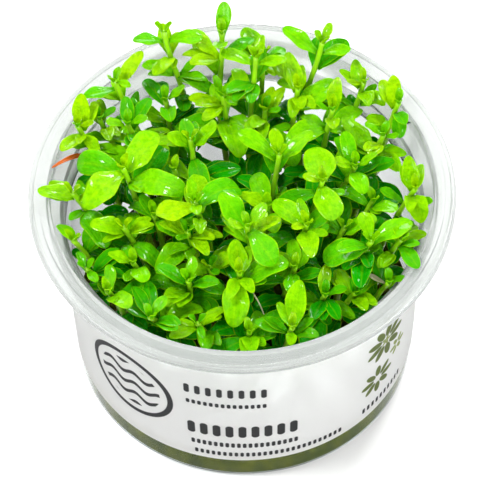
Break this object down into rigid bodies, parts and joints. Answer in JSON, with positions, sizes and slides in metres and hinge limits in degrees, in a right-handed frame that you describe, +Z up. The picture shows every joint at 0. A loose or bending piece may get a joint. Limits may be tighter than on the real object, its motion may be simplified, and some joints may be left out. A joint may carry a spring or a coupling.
{
  "type": "potted lemon bacopa",
  "caption": "Round clear tub with a printed sleeve, holding a disc of nutrient gel from which upright leafy bacopa shoots grow past the rim.",
  "frame": {"origin": "middle of the tub's underside, on the surface it stands on", "axes": "+Z up through the middle of the tub, the front of the printed sleeve faces -Y, +X to its right"},
  "size_m": [0.101, 0.101, 0.0807],
  "materials": {
    "clear_plastic": "gloss",
    "printed_film": "satin",
    "nutrient_gel": "gloss",
    "bacopa_green": "satin"
  },
  "bodies": {
    "root": {"tub": "clear_plastic", "label_sleeve": "printed_film", "nutrient_gel": "nutrient_gel", "shoot_01": "bacopa_green", "shoot_02": "bacopa_green", "shoot_03": "bacopa_green", "shoot_04": "bacopa_green", "shoot_05": "bacopa_green", "shoot_06": "bacopa_green", "shoot_07": "bacopa_green", "shoot_08": "bacopa_green", "shoot_09": "bacopa_green", "shoot_10": "bacopa_green", "shoot_11": "bacopa_green", "shoot_12": "bacopa_green", "shoot_13": "bacopa_green", "shoot_14": "bacopa_green", "shoot_15": "bacopa_green", "shoot_16": "bacopa_green", "shoot_17": "bacopa_green", "shoot_18": "bacopa_green", "shoot_19": "bacopa_green", "shoot_20": "bacopa_green", "shoot_21": "bacopa_green", "shoot_22": "bacopa_green", "shoot_23": "bacopa_green", "shoot_24": "bacopa_green", "shoot_25": "bacopa_green", "shoot_26": "bacopa_green", "shoot_27": "bacopa_green", "shoot_28": "bacopa_green", "shoot_29": "bacopa_green", "shoot_30": "bacopa_green", "shoot_31": "bacopa_green", "shoot_32": "bacopa_green", "shoot_33": "bacopa_green", "shoot_34": "bacopa_green", "shoot_35": "bacopa_green", "shoot_36": "bacopa_green", "shoot_37": "bacopa_green", "shoot_38": "bacopa_green", "shoot_39": "bacopa_green", "shoot_40": "bacopa_green", "shoot_41": "bacopa_green", "shoot_42": "bacopa_green", "shoot_43": "bacopa_green", "shoot_44": "bacopa_green", "shoot_45": "bacopa_green", "shoot_46": "bacopa_green", "shoot_47": "bacopa_green", "shoot_48": "bacopa_green", "shoot_49": "bacopa_green", "shoot_50": "bacopa_green", "shoot_51": "bacopa_green"}
  },
  "joints": []
}
